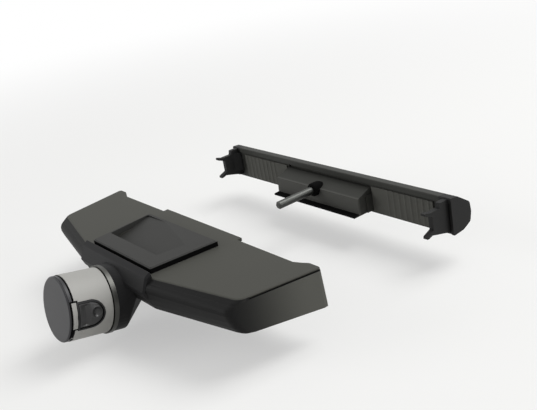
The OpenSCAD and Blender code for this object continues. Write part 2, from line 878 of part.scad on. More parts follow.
module flange_ring() {
    color(silver) on_socket(socket_l) difference() {
        union() {
            cylinder(r = flange_r, h = flange_t - flange_chamfer);
            cylinder(r = flange_r - flange_chamfer, h = flange_t);
        }
        translate([0, 0, -over]) cylinder(r = core_screw_r + fit_gap, h = flange_t + 2 * over);
    }
}

// D-shaped outline of the button, straight towards the cap, moved in by inset.
// X of the outline runs along the socket's axis and Y round it.
module d_outline(inset) {
    half = button_w / 2 + bezel_w - inset;
    start = button_front_s - bezel_w + inset;
    centre = button_front_s + button_l - button_w / 2;
    union() {
        translate([start, -half]) square([centre - start, 2 * half]);
        translate([centre, 0]) circle(half);
    }
}

// Extrudes a D outline along the socket's +X from x0 to x1
module d_block(inset, x0, x1) {
    translate([x0, 0, 0]) rotate([quarter_turn, 0, quarter_turn]) rotate([0, 0, quarter_turn])
        linear_extrude(x1 - x0) d_outline(inset);
}

module socket_sleeve() {
    color(silver) on_socket(0) difference() {
        union() {
            translate([0, 0, cap_t + sleeve_gap])
                cylinder(r = sleeve_r, h = socket_l - cap_t - sleeve_gap);
            // tab that keys into the cap's notch
            intersection() {
                translate([0, 0, cap_skin + tab_gap]) cylinder(r = sleeve_r, h = cap_t);
                notch_wedge(tab_gap);
            }
        }
        translate([0, 0, -over]) cylinder(r = sleeve_r - sleeve_wall, h = socket_l + 2 * over);
        d_block(-window_gap, 0, 2 * sleeve_r);
    }
}

// Wedge between the notch's two angles, narrowed by gap on each side
module notch_wedge(gap) {
    reach = 2 * sleeve_r;
    low = -notch_to;
    high = -notch_from;
    n = 4;
    linear_extrude(cap_t + sleeve_gap + gap) polygon(concat(
        [gap / sin((high - low) / 2) * [cos((low + high) / 2), sin((low + high) / 2)]],
        [for (i = [0:n]) let (a = low + (high - low) * i / n) reach * [cos(a), sin(a)]]
    ));
}

module socket_core() {
    color(black_plastic) on_socket(0) difference() {
        translate([0, 0, cap_t + sleeve_gap]) cylinder(r = core_r, h = socket_l - cap_t - sleeve_gap);
        translate([0, 0, 0]) cylinder(r = bore_r, h = cap_t + bore_depth);
        translate([0, 0, cap_t + sleeve_gap - slice_t])
            cylinder(r1 = bore_r + lead_in, r2 = bore_r, h = lead_in);
        translate([0, 0, cap_t + bore_depth - over])
            cylinder(r = core_screw_head_r + fit_gap, h = core_screw_head_t + over);
        cylinder(r = core_screw_r + fit_gap, h = 2 * socket_l);
        d_block(-window_gap, button_floor_x, 2 * sleeve_r);
        // slot for the latch, open on the button's side
        translate([latch_in_x - button_travel - latch_slot_gap, -latch_half_h - latch_slot_gap,
            latch_s - latch_slot_gap])
            cube([2 * sleeve_r, 2 * (latch_half_h + latch_slot_gap), latch_t + 2 * latch_slot_gap]);
    }
}

module core_screw() {
    seat = cap_t + bore_depth + core_screw_head_t;
    color(steel) on_socket(0) {
        translate([0, 0, seat - core_screw_head_t]) cylinder(r = core_screw_head_r, h = core_screw_head_t);
        translate([0, 0, seat]) cylinder(r = core_screw_r, h = core_screw_l - fit_gap);
    }
}

module button_bezel() {
    color(black_plastic) on_socket(0) intersection() {
        cylinder(r = sleeve_r + bezel_proud, h = 2 * socket_l);
        difference() {
            d_block(0, sleeve_r - bezel_depth - sleeve_wall, 2 * sleeve_r);
            d_block(bezel_w, 0, 3 * sleeve_r);
        }
    }
}

module release_button() {
    centre = button_front_s + button_l - button_w / 2;
    color(charcoal) on_socket(0) difference() {
        intersection() {
            cylinder(r = sleeve_r - button_sink, h = 2 * socket_l);
            d_block(bezel_w + window_gap, button_inner_x, 2 * sleeve_r);
        }
        translate([sleeve_r - button_sink - dish_depth + dish_sphere_r, 0, centre])
            sphere(dish_sphere_r, $fn = 2 * $fn);
    }
}

module button_spring() {
    spring_s = button_front_s + button_w / 5;
    length = button_inner_x - button_floor_x - 2 * (button_wire_r + run_gap);
    color(steel) on_socket(0) translate([button_inner_x - button_wire_r - run_gap, 0, spring_s])
        rotate([0, 0, quarter_turn]) coil(button_coil_r, button_wire_r, length, button_turns);
}

module socket_latch() {
    color(steel) on_socket(latch_s) linear_extrude(latch_t) difference() {
        intersection() {
            circle(core_r - fit_gap);
            translate([button_travel, 0]) circle(core_r - fit_gap);
            translate([latch_in_x, -latch_half_h])
                square([latch_out_x - latch_in_x, 2 * latch_half_h]);
        }
        union() {
            translate([latch_tooth, 0]) circle(bore_r);
            translate([button_travel, 0]) circle(bore_r - fit_gap);
        }
    }
}

module end_cap() {
    color(graphite) on_socket(0) difference() {
        union() {
            difference() {
                union() {
                    cylinder(r1 = cap_r - cap_edge_r, r2 = cap_r, h = cap_edge_r);
                    translate([0, 0, cap_edge_r]) cylinder(r = cap_r, h = cap_t - cap_edge_r);
                }
                // notch that clears the sleeve's tab
                translate([0, 0, cap_skin]) difference() {
                    notch_wedge(0);
                    cylinder(r = core_r, h = cap_t + over);
                }
            }
            cylinder(r = spigot_r, h = cap_t + spigot_l);
        }
        translate([0, 0, cap_t]) cylinder(r = spigot_r - spigot_wall, h = spigot_l + over);
        translate([0, 0, cap_t + spigot_l / 2]) rotate_extrude()
            translate([spigot_r, 0]) circle(ring_groove_r);
    }
}

module cap_ring() {
    color(rubber) on_socket(cap_t + spigot_l / 2) rotate_extrude()
        translate([spigot_r - ring_groove_r + ring_wire_r + run_gap, 0]) circle(ring_wire_r);
}

// Section of the clamp bar: flat face, sloping top and bevelled lower back
module bar_outline() {
    polygon(rounded([
        for (p = bar_form_shares)
            [bar_y + p.x * bar_d, bar_low_z + p.y * bar_h, p.z * bar_edge_r]
    ]));
}

module block_outline() {
    polygon([
        [bar_y + bar_wall, block_top_z],
        [bar_y, block_top_z],
        [block_front_y + block_lean, block_top_z - block_fall],
        [block_front_y, block_low_z + block_lip_t],
        [block_front_y - block_lip, block_low_z + 0.8 * block_lip_t],
        [block_front_y - block_lip, block_low_z],
        [bar_y + bar_wall, block_low_z]
    ]);
}

module lug_outline() {
    root_y = bar_y - lug_root_d;
    polygon([
        [bar_y + bar_wall, lug_high_z + lug_root_rise], [root_y, lug_high_z + lug_root_rise],
        [root_y - lug_root_rise / 4, lug_high_z], [lug_y, lug_high_z],
        [prong_y + prong_t, lug_high_z + prong_flare], [prong_y, lug_high_z + prong_flare],
        [prong_y, lug_high_z - prong_t + prong_flare], [lug_y + prong_t, lug_high_z - 2 * prong_t],
        [lug_y + prong_t, lug_low_z + 2 * prong_t], [prong_y, lug_low_z + prong_t - prong_flare],
        [prong_y, lug_low_z - prong_flare], [prong_y + prong_t, lug_low_z - prong_flare],
        [lug_y, lug_low_z], [bar_y, lug_low_z - lug_root_drop],
        [bar_y + bar_wall, lug_low_z - lug_root_drop]
    ]);
}

module clamp_bar() {
    color(charcoal) difference() {
        union() {
            difference() {
                along_x(bar_w) bar_outline();
                // shallow recess of the face, under the top rim and between the end ribs
                translate([-bar_w / 2 + face_rim_end, bar_y - over, bar_low_z - over])
                    cube([bar_w - 2 * face_rim_end, face_recess + over,
                        bar_h - face_rim_top + over]);
            }
            along_x(block_w) block_outline();
            both_sides() {
                translate([lug_out_x - lug_w / 2, 0, 0]) along_x(lug_w) lug_outline();
                // fillet along the lug's inner root
                translate([lug_out_x - lug_w, bar_y, lug_low_z])
                    linear_extrude(lug_high_z - lug_low_z) polygon([
                        [over, -lug_fillet_l], [0, -lug_fillet_l], [-lug_fillet_w, 0],
                        [-lug_fillet_w, bar_wall], [over, bar_wall]
                    ]);
                // flank that steps the block's end
                translate([block_w / 2 - over, bar_y - flank_d, block_low_z])
                    cube([flank_w + over, flank_d + bar_wall, block_top_z - block_fall - block_low_z]);
            }
        }
        // slot above the block's root
        translate([-block_w / 2, bar_y - over, block_top_z]) cube([block_w, slot_depth + over, slot_h]);
        y_rod(rod_d / 2 + fit_gap, 0, 2 * bar_back_y);
        y_rod(rod_socket_r, 0, block_front_y + rod_socket_depth);
        // pocket for the rod's nut, under the cover
        y_rod(nut_pocket_r, nut_pocket_y, bar_back_y - cover_depth + slice_t);
        cover_form(fit_gap);
    }
}

// Block that the rod's cover fills, grown all round
module cover_form(grow) {
    x = cover_w / 2 + grow;
    translate([0, bar_back_y - cover_depth - grow, 0]) rotate([-quarter_turn, 0, 0])
        linear_extrude(bar_d) polygon(rounded([
            [-x, -cover_high_z - grow, cover_r], [x, -cover_high_z - grow, cover_r],
            [x, -cover_low_z + grow, cover_r], [-x, -cover_low_z + grow, cover_r]
        ]));
}

module bar_pad() {
    low = bar_low_z + bar_pad_edge;
    high = bar_top_z - face_rim_top - bar_pad_edge;
    step = (bar_rib_to - bar_rib_from) / (bar_rib_count - 1);
    color(rubber) union() {
        translate([bar_pad_from, bar_y + face_recess - bar_pad_t, low])
            cube([bar_pad_to - bar_pad_from, bar_pad_t, high - low]);
        for (k = [0:bar_rib_count - 1])
            translate([bar_rib_from + k * step - bar_rib_w / 2,
                bar_y + face_recess - bar_pad_t - bar_rib_h, low])
                cube([bar_rib_w, bar_rib_h + bar_pad_t, high - low]);
    }
}

module bar_pad_left() {
    mirror([1, 0, 0]) bar_pad();
}

module bar_pad_right() {
    bar_pad();
}

module clamp_rod() {
    end_y = nut_pocket_y + washer_t + nut_t + rod_tail;
    color(steel) union() {
        translate([0, rod_tip_y, 0]) rotate([-quarter_turn, 0, 0])
            cylinder(r1 = rod_d / 2 - rod_chamfer, r2 = rod_d / 2, h = rod_chamfer);
        y_rod(rod_d / 2, rod_tip_y + rod_chamfer, end_y);
    }
}

module rod_washer() {
    color(steel) difference() {
        y_rod(washer_r, nut_pocket_y, nut_pocket_y + washer_t);
        y_rod(rod_d / 2 + fit_gap, nut_pocket_y - over, nut_pocket_y + washer_t + over);
    }
}

module rod_nut() {
    color(steel) difference() {
        translate([0, nut_pocket_y + washer_t, 0]) rotate([-quarter_turn, 0, 0])
            cylinder(d = nut_flats / cos(half_turn / 6), h = nut_t, $fn = 6);
        y_rod(rod_d / 2 + run_gap, nut_pocket_y, 2 * bar_back_y);
    }
}

module rod_cover() {
    color(black_plastic) intersection() {
        cover_form(0);
        along_x(bar_w) bar_outline();
    }
}

lower_housing();
upper_housing();
housing_screws();
post_pad_left();
post_pad_right();
release_slide();
slide_fork();
fork_screws();
slide_spring_left();
slide_spring_right();
rod_guide();
lock_plate();
lock_spring();
socket_arm();
arm_screws();
flange_ring();
socket_sleeve();
socket_core();
core_screw();
button_bezel();
release_button();
button_spring();
socket_latch();
end_cap();
cap_ring();
clamp_bar();
bar_pad_left();
bar_pad_right();
clamp_rod();
rod_washer();
rod_nut();
rod_cover();
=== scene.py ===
"""Looks for the headrest tablet mount: materials, softened edges, small trim, light and camera."""

import math

import bmesh
import bpy
from mathutils import Matrix, Vector


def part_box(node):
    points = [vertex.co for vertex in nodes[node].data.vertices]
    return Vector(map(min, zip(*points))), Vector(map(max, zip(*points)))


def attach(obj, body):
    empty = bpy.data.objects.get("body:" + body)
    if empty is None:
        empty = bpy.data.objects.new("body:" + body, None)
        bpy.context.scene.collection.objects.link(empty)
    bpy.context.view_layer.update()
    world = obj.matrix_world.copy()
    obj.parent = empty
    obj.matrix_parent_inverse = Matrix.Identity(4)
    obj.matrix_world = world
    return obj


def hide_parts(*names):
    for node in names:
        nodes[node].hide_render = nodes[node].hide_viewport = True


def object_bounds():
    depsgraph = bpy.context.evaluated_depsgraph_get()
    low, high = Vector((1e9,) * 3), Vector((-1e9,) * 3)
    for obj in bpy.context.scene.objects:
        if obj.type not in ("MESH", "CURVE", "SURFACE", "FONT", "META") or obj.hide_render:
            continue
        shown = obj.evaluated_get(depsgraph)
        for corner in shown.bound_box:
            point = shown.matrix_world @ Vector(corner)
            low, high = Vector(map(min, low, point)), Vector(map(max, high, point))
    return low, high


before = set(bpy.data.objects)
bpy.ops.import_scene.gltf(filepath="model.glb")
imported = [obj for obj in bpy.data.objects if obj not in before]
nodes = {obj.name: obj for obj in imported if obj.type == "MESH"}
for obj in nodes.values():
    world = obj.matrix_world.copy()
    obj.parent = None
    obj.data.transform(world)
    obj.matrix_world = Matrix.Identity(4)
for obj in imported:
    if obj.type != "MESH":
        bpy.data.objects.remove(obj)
cad_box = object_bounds()
scene = bpy.context.scene
MM = 0.001


# Camera: fitted to the photograph. Its place is in metres.

PHOTO_WIDTH = 537
FOCAL_PIXELS = 348.63
SENSOR_WIDTH = 36.0
# the part of the photograph's width that the picture shows, so that the mount fills it
VIEW_SHARE = 0.42
CAMERA_AZIMUTH = math.radians(56.38)
CAMERA_ELEVATION = math.radians(21.23)
CAMERA_ROLL = math.radians(-10.83)
CAMERA_PLACE = Vector((0.39285, -0.21166, 0.18638))
CLIP_NEAR, CLIP_FAR = 0.01, 20


def camera_turn():
    """The camera's axes as a matrix: right, up and back."""
    azimuth, elevation, roll = CAMERA_AZIMUTH, CAMERA_ELEVATION, CAMERA_ROLL
    back = Vector((
        math.sin(azimuth) * math.cos(elevation),
        -math.cos(azimuth) * math.cos(elevation),
        math.sin(elevation),
    ))
    level = Vector((math.cos(azimuth), math.sin(azimuth), 0))
    upright = back.cross(level)
    right = math.cos(roll) * level + math.sin(roll) * upright
    up = back.cross(right)
    return Matrix((right, up, back)).transposed().to_4x4()


def make_camera():
    data = bpy.data.cameras.new("camera")
    data.sensor_width = SENSOR_WIDTH
    data.lens = SENSOR_WIDTH * FOCAL_PIXELS / (PHOTO_WIDTH * VIEW_SHARE)
    data.clip_start, data.clip_end = CLIP_NEAR, CLIP_FAR
    camera = bpy.data.objects.new("camera", data)
    scene.collection.objects.link(camera)
    camera.matrix_world = Matrix.Translation(CAMERA_PLACE) @ camera_turn()
    scene.camera = camera


# Node helpers

def calculated(tree, operation, *values):
    """The output of a maths node on one or two values."""
    node = tree.nodes.new("ShaderNodeMath")
    node.operation = operation
    for value, socket in zip(values, node.inputs):
        tree.links.new(value, socket)
    return node.outputs[0]


def mapped(tree, value, given, wanted, smooth=False):
    """Takes a value from one range to another, each as (low, high)."""
    node = tree.nodes.new("ShaderNodeMapRange")
    if smooth:
        node.interpolation_type = "SMOOTHSTEP"
    node.inputs["From Min"].default_value, node.inputs["From Max"].default_value = given
    node.inputs["To Min"].default_value, node.inputs["To Max"].default_value = wanted
    tree.links.new(value, node.inputs["Value"])
    return node.outputs["Result"]


def mix_shaders(tree, share, first, second, target):
    """Sends the first shader to the target, and the second where share is 1."""
    mix = tree.nodes.new("ShaderNodeMixShader")
    tree.links.new(share, mix.inputs["Fac"])
    tree.links.new(first, mix.inputs[1])
    tree.links.new(second, mix.inputs[2])
    tree.links.new(mix.outputs[0], target)


def seen_by_eye(tree):
    """1 for rays that show the background: from the camera, in gloss and through glass."""
    path = tree.nodes.new("ShaderNodeLightPath")
    value = path.outputs["Is Camera Ray"]
    for ray in ("Is Glossy Ray", "Is Transmission Ray"):
        value = calculated(tree, "MAXIMUM", value, path.outputs[ray])
    return value


# Stage and light, in metres and watts

WHITE = (1, 1, 1, 1)
FLOOR_DROP = 0.004
FLOOR_SIZE = 12.0
FLOOR_COLOUR = (0.74, 0.74, 0.725, 1)
FLOOR_ROUGHNESS, FLOOR_SPECULAR = 0.95, 0.1
# the floor goes from one share of white to another over these distances from its middle
FLOOR_FADE = (0.25, 1.1)
FLOOR_WHITE_SHARES = (0.45, 1.0)
WORLD_COLOUR = (1, 1, 0.99, 1)
WORLD_STRENGTH = 0.34
# name, place, width and height, power
LIGHTS = [
    ("key", (0.35, 0.75, 1.25), (1.0, 0.9), 18),
    ("right", (1.2, 0.75, 0.3), (0.7, 0.5), 4.5),
    ("front_strip", (0.75, -1.15, 0.55), (0.16, 0.8), 0.35),
    ("left", (-0.8, -1.1, 0.5), (0.8, 0.8), 8),
]


def floor_material():
    """Pale floor that keeps the shadow and fades to white away from the object."""
    material = bpy.data.materials.new("floor")
    material.use_nodes = True
    tree = material.node_tree
    shader = tree.nodes["Principled BSDF"]
    shader.inputs["Base Color"].default_value = FLOOR_COLOUR
    shader.inputs["Roughness"].default_value = FLOOR_ROUGHNESS
    shader.inputs["Specular IOR Level"].default_value = FLOOR_SPECULAR
    glow = tree.nodes.new("ShaderNodeEmission")
    glow.inputs["Color"].default_value = WHITE
    coordinates = tree.nodes.new("ShaderNodeTexCoord")
    length = tree.nodes.new("ShaderNodeVectorMath")
    length.operation = "LENGTH"
    tree.links.new(coordinates.outputs["Object"], length.inputs[0])
    fade = mapped(tree, length.outputs["Value"], FLOOR_FADE, FLOOR_WHITE_SHARES, smooth=True)
    share = calculated(tree, "MULTIPLY", fade, seen_by_eye(tree))
    surface = tree.nodes["Material Output"].inputs["Surface"]
    mix_shaders(tree, share, shader.outputs[0], glow.outputs[0], surface)
    return material


def make_floor():
    low, high = cad_box
    middle = (low + high) / 2
    bpy.ops.mesh.primitive_plane_add(
        size=FLOOR_SIZE, location=(middle.x, middle.y, low.z - FLOOR_DROP)
    )
    floor = bpy.context.object
    floor.name = "floor"
    floor.data.materials.append(floor_material())


def make_world():
    world = bpy.data.worlds.new("studio")
    scene.world = world
    world.use_nodes = True
    tree = world.node_tree
    light = tree.nodes["Background"]
    light.inputs["Color"].default_value = WORLD_COLOUR
    light.inputs["Strength"].default_value = WORLD_STRENGTH
    backdrop = tree.nodes.new("ShaderNodeBackground")
    backdrop.inputs["Color"].default_value = WHITE
    surface = tree.nodes["World Output"].inputs["Surface"]
    mix_shaders(tree, seen_by_eye(tree), light.outputs[0], backdrop.outputs[0], surface)


def make_lights():
    for name, place, (width, height), power in LIGHTS:
        data = bpy.data.lights.new(name, "AREA")
        data.shape = "RECTANGLE"
        data.size, data.size_y = width, height
        data.energy = power
        lamp = bpy.data.objects.new(name, data)
        scene.collection.objects.link(lamp)
        lamp.location = place
        lamp.rotation_mode = "QUATERNION"
        lamp.rotation_quaternion = (-Vector(place)).to_track_quat("-Z", "Y")


# Places of the CAD model that the looks follow, in millimetres

def box_in_mm(node):
    low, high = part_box(node)
    return low / MM, high / MM


SHELL_LOW, SHELL_HIGH = box_in_mm("lower_housing")
LID_LOW, LID_HIGH = box_in_mm("upper_housing")
SLIDE_LOW, SLIDE_HIGH = box_in_mm("release_slide")
SLEEVE_RADIUS = box_in_mm("socket_sleeve")[1].x
CAP_RADIUS = box_in_mm("end_cap")[1].x
BAR_HALF = box_in_mm("clamp_bar")[1].x
BUTTON_BASE = box_in_mm("release_button")[0].x
HEAD_LOW = box_in_mm("housing_screws")[0].z
# the rod stands this far out of the bar's centre block
ROD_REACH = 30.0
BLOCK_FRONT_Y = box_in_mm("clamp_rod")[0].y + ROD_REACH
BLOCK_HALF = 39.5


# Materials: each has its own grain and colour variation from noise, and plastic and metal their
# roughness too

BLOTCH_SIZE = 22 * MM
GRAIN_SIZE, GRAIN_DEPTH, GRAIN_STRENGTH = 0.35 * MM, 0.05 * MM, 0.12
PLASTIC_SPREAD, PLASTIC_DRIFT = 0.1, 0.05
RUBBER_BLOTCH_SIZE = 6 * MM
RUBBER_GRAIN_SIZE, RUBBER_GRAIN_DEPTH, RUBBER_GRAIN_STRENGTH = 0.5 * MM, 0.08 * MM, 0.25
RUBBER_SPREAD, RUBBER_ROUGHNESS, RUBBER_SPECULAR = 0.15, 0.8, 0.3
MARK_SIZE, MARK_DEPTH = 0.6 * MM, 0.02 * MM
METAL_SPREAD, METAL_DRIFT = 0.06, 0.06
FINE_DETAIL, BLOTCH_DETAIL, RICH_DETAIL = 2, 3, 4
# marks that run across the socket, and round the rod
ACROSS_SOCKET, ROUND_ROD = (0.05, 1, 1), (0.3, 4, 0.3)


def new_material(name):
    material = bpy.data.materials.new(name)
    material.use_nodes = True
    tree = material.node_tree
    return material, tree, tree.nodes["Principled BSDF"]


def object_noise(tree, size, detail, stretch=(1, 1, 1)):
    """Noise of about this size, fixed to the object and squeezed by stretch along each axis."""
    coordinates = tree.nodes.new("ShaderNodeTexCoord")
    mapping = tree.nodes.new("ShaderNodeMapping")
    mapping.inputs["Scale"].default_value = stretch
    noise = tree.nodes.new("ShaderNodeTexNoise")
    noise.inputs["Scale"].default_value = 1 / size
    noise.inputs["Detail"].default_value = detail
    tree.links.new(coordinates.outputs["Object"], mapping.inputs["Vector"])
    tree.links.new(mapping.outputs["Vector"], noise.inputs["Vector"])
    return noise.outputs["Fac"]


def vary_roughness(tree, shader, noise, roughness, drift):
    rough = mapped(tree, noise, (0, 1), (roughness - drift, roughness + drift))
    tree.links.new(rough, shader.inputs["Roughness"])


def vary_colour(tree, shader, noise, colour, spread):
    mix = tree.nodes.new("ShaderNodeMix")
    mix.data_type = "RGBA"
    mix.inputs["A"].default_value = [c * (1 - spread) for c in colour] + [1]
    mix.inputs["B"].default_value = [c * (1 + spread) for c in colour] + [1]
    tree.links.new(noise, mix.inputs["Factor"])
    tree.links.new(mix.outputs["Result"], shader.inputs["Base Color"])


def bump(tree, shader, height, strength, distance):
    node = tree.nodes.new("ShaderNodeBump")
    node.inputs["Strength"].default_value = strength
    node.inputs["Distance"].default_value = distance
    tree.links.new(height, node.inputs["Height"])
    tree.links.new(node.outputs["Normal"], shader.inputs["Normal"])


def plastic(name, colour, roughness, specular):
    """Moulded plastic with an eroded grain and a faint drift of tone."""
    material, tree, shader = new_material(name)
    blotch = object_noise(tree, BLOTCH_SIZE, BLOTCH_DETAIL)
    vary_colour(tree, shader, blotch, colour, PLASTIC_SPREAD)
    vary_roughness(tree, shader, blotch, roughness, PLASTIC_DRIFT)
    shader.inputs["Specular IOR Level"].default_value = specular
    bump(tree, shader, object_noise(tree, GRAIN_SIZE, FINE_DETAIL), GRAIN_STRENGTH, GRAIN_DEPTH)
    return material


def rubber(name, colour):
    """Soft rubber: dull, with a coarser skin."""
    material, tree, shader = new_material(name)
    blotch = object_noise(tree, RUBBER_BLOTCH_SIZE, RICH_DETAIL)
    vary_colour(tree, shader, blotch, colour, RUBBER_SPREAD)
    shader.inputs["Roughness"].default_value = RUBBER_ROUGHNESS
    shader.inputs["Specular IOR Level"].default_value = RUBBER_SPECULAR
    grain = object_noise(tree, RUBBER_GRAIN_SIZE, FINE_DETAIL)
    bump(tree, shader, grain, RUBBER_GRAIN_STRENGTH, RUBBER_GRAIN_DEPTH)
    return material


def metal(name, colour, roughness, streak=(1, 1, 1), strength=0.1, metallic=1.0):
    """Metal with fine machining marks, which are long on the axes where streak is small."""
    material, tree, shader = new_material(name)
    marks = object_noise(tree, MARK_SIZE, RICH_DETAIL, streak)
    vary_colour(tree, shader, marks, colour, METAL_SPREAD)
    shader.inputs["Metallic"].default_value = metallic
    vary_roughness(tree, shader, marks, roughness, METAL_DRIFT)
    bump(tree, shader, marks, strength, MARK_DEPTH)
    return material


# Painted light and shade as second tones, each from where it starts to where it is full. Places
# are in metres.

# painted light: the shell's end faces paler towards the back
END_PAINTED_LIGHT_Y = (46 * MM, 2 * MM)
END_PAINTED_LIGHT_FACING = (0.75, 0.97)
# painted light: the block's front paler; painted shade: the end lugs darker
BLOCK_PAINTED_LIGHT_Y = ((BLOCK_FRONT_Y + 2.3) * MM, (BLOCK_FRONT_Y + 1.1) * MM)
LUG_PAINTED_SHADE_X = ((BAR_HALF - 9) * MM, (BAR_HALF - 8) * MM)


def axis_share(tree, output, axis, start, full):
    """0 to 1 as the size of one axis of a vector goes from start to full."""
    axes = tree.nodes.new("ShaderNodeSeparateXYZ")
    tree.links.new(output, axes.inputs[0])
    size = calculated(tree, "ABSOLUTE", axes.outputs[axis])
    if start > full:
        return mapped(tree, size, (full, start), (1, 0), smooth=True)
    return mapped(tree, size, (start, full), (0, 1), smooth=True)


def painted_tone(material, colour, share):
    """Mixes another base colour, painted light or shade, into a material where share is 1."""
    tree = material.node_tree
    target = tree.nodes["Principled BSDF"].inputs["Base Color"]
    first = target.links[0].from_socket
    mix = tree.nodes.new("ShaderNodeMix")
    mix.data_type = "RGBA"
    tree.links.new(share, mix.inputs["Factor"])
    tree.links.new(first, mix.inputs["A"])
    mix.inputs["B"].default_value = (*colour, 1)
    tree.links.new(mix.outputs["Result"], target)


def paint_end_face_light(material, colour):
    """Painted light: the shell's end faces are painted paler towards the back, as reflected light
    would make them.
    """
    tree = material.node_tree
    place = tree.nodes.new("ShaderNodeTexCoord").outputs["Object"]
    normal = tree.nodes.new("ShaderNodeNewGeometry").outputs["Normal"]
    near_back = axis_share(tree, place, "Y", *END_PAINTED_LIGHT_Y)
    facing_out = axis_share(tree, normal, "X", *END_PAINTED_LIGHT_FACING)
    painted_tone(material, colour, calculated(tree, "MULTIPLY", near_back, facing_out))


def paint_bar_light_and_shade(material, lit_front_colour, shaded_end_colour):
    """Painted light and shade: the bar's block front is painted paler, as if lit, and the end lugs
    are painted darker, as if in shade.
    """
    tree = material.node_tree
    place = tree.nodes.new("ShaderNodeTexCoord").outputs["Object"]
    painted_tone(material, lit_front_colour, axis_share(tree, place, "Y", *BLOCK_PAINTED_LIGHT_Y))
    painted_tone(material, shaded_end_colour, axis_share(tree, place, "X", *LUG_PAINTED_SHADE_X))


def make_materials():
    """The materials by the names that NODES_OF and the trim use."""
    housing = plastic("housing_black", (0.012, 0.012, 0.012), 0.52, 0.07)
    # painted light on the shell's end faces, paler towards the back
    paint_end_face_light(housing, (0.1, 0.1, 0.09))
    bar = plastic("bar_charcoal", (0.034, 0.0345, 0.031), 0.55, 0.14)
    # painted light on the block's front and painted shade on the end lugs
    paint_bar_light_and_shade(bar, (0.062, 0.062, 0.057), (0.014, 0.014, 0.014))
    return {
        "housing": housing,
        "bar": bar,
        "lid": plastic("lid_charcoal", (0.056, 0.056, 0.049), 0.66, 0.16),
        "slide": plastic("slide_graphite", (0.03, 0.03, 0.0285), 0.58, 0.15),
        "arm": plastic("arm_graphite", (0.012, 0.012, 0.0125), 0.5, 0.1),
        "button": plastic("button_charcoal", (0.022, 0.022, 0.022), 0.34, 0.45),
        "cap": plastic("cap_graphite", (0.024, 0.024, 0.0265), 0.42, 0.3),
        "inner": plastic("inner_black", (0.008, 0.008, 0.0085), 0.45, 0.25),
        "shadow": plastic("shadow_black", (0.003, 0.003, 0.003), 0.75, 0.03),
        "pad": rubber("bar_pad_rubber", (0.062, 0.062, 0.055)),
        "rubber": rubber("black_rubber", (0.012, 0.012, 0.012)),
        "sleeve": metal("satin_sleeve", (0.33, 0.326, 0.31), 0.62, ACROSS_SOCKET, 0.25, 0.08),
        "flange": metal("flange_grey", (0.075, 0.075, 0.07), 0.42, ACROSS_SOCKET, 0.2),
        "rod": metal("ground_rod", (0.07, 0.072, 0.068), 0.45, ROUND_ROD, 0.12),
        "steel": metal("zinc_steel", (0.42, 0.43, 0.44), 0.35),
        "spring": metal("spring_wire", (0.36, 0.36, 0.37), 0.3),
        "brass": metal("brass_bush", (0.5, 0.38, 0.18), 0.3),
    }


# The CAD model's nodes: the material of each, and eased edges, in millimetres

NODES_OF = {
    "housing": ["lower_housing"],
    "bar": ["clamp_bar"],
    "lid": ["upper_housing"],
    "slide": ["release_slide"],
    "arm": ["socket_arm"],
    "button": ["release_button"],
    "cap": ["end_cap"],
    "inner": ["socket_core", "button_bezel", "rod_cover"],
    "pad": ["bar_pad_left", "bar_pad_right"],
    "rubber": ["post_pad_left", "post_pad_right", "cap_ring"],
    "sleeve": ["socket_sleeve"],
    "flange": ["flange_ring"],
    "rod": ["clamp_rod"],
    "steel": [
        "housing_screws", "slide_fork", "fork_screws", "lock_plate", "arm_screws", "core_screw",
        "socket_latch", "rod_washer", "rod_nut",
    ],
    "spring": ["slide_spring_left", "slide_spring_right", "lock_spring", "button_spring"],
    "brass": ["rod_guide"],
}
EDGE_RADII = {
    "lower_housing": 0.5, "upper_housing": 0.3, "release_slide": 0.35, "socket_arm": 0.4,
    "flange_ring": 0.25, "socket_sleeve": 0.15, "socket_core": 0.2, "end_cap": 0.3,
    "button_bezel": 0.12, "clamp_bar": 0.45, "clamp_rod": 0.15, "rod_cover": 0.3,
    "post_pad_left": 0.2, "post_pad_right": 0.2, "lock_plate": 0.15, "slide_fork": 0.15,
}
# edges that turn by more than this are eased
NODE_ANGLE, TRIM_ANGLE, PAD_ANGLE = math.radians(32), math.radians(30), math.radians(60)


def ease_edges(piece, radius, angle):
    """Eased edges with flat faces between them."""
    bevel = piece.modifiers.new("edge", "BEVEL")
    bevel.width, bevel.segments = radius * MM, 2
    bevel.limit_method, bevel.angle_limit = "ANGLE", angle
    bevel.harden_normals = True


def shade_smooth(mesh):
    for polygon in mesh.polygons:
        polygon.use_smooth = True


def dress_nodes(materials):
    for key, names in NODES_OF.items():
        for name in names:
            mesh = nodes[name].data
            mesh.materials.clear()
            mesh.materials.append(materials[key])
            shade_smooth(mesh)
    for name, radius in EDGE_RADII.items():
        ease_edges(nodes[name], radius, NODE_ANGLE)


# Added pieces. Lengths are in millimetres from here on, and add_piece makes them metres.

FULL_TURN = 360
TURN_STEP, FEWEST_STEPS = 2.5, 6


def add_piece(name, mesh_bm, material, body, place=Matrix.Identity(4)):
    bmesh.ops.recalc_face_normals(mesh_bm, faces=mesh_bm.faces)
    mesh = bpy.data.meshes.new(name)
    mesh_bm.transform(Matrix.Scale(MM, 4) @ place)
    mesh_bm.to_mesh(mesh)
    mesh_bm.free()
    shade_smooth(mesh)
    piece = bpy.data.objects.new(name, mesh)
    scene.collection.objects.link(piece)
    piece.data.materials.append(material)
    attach(piece, body)
    return piece


def add_skin(bm, rings, wrap=False):
    """Joins rings of points with quads, and closes the ends where the rings don't wrap."""
    loops = [[bm.verts.new(point) for point in ring] for ring in rings]
    for one, two in zip(loops, loops[1:] + (loops[:1] if wrap else [])):
        for j in range(len(one)):
            k = (j + 1) % len(one)
            bm.faces.new((one[j], one[k], two[k], two[j]))
    if not wrap:
        bm.faces.new(loops[0])
        bm.faces.new(reversed(loops[-1]))


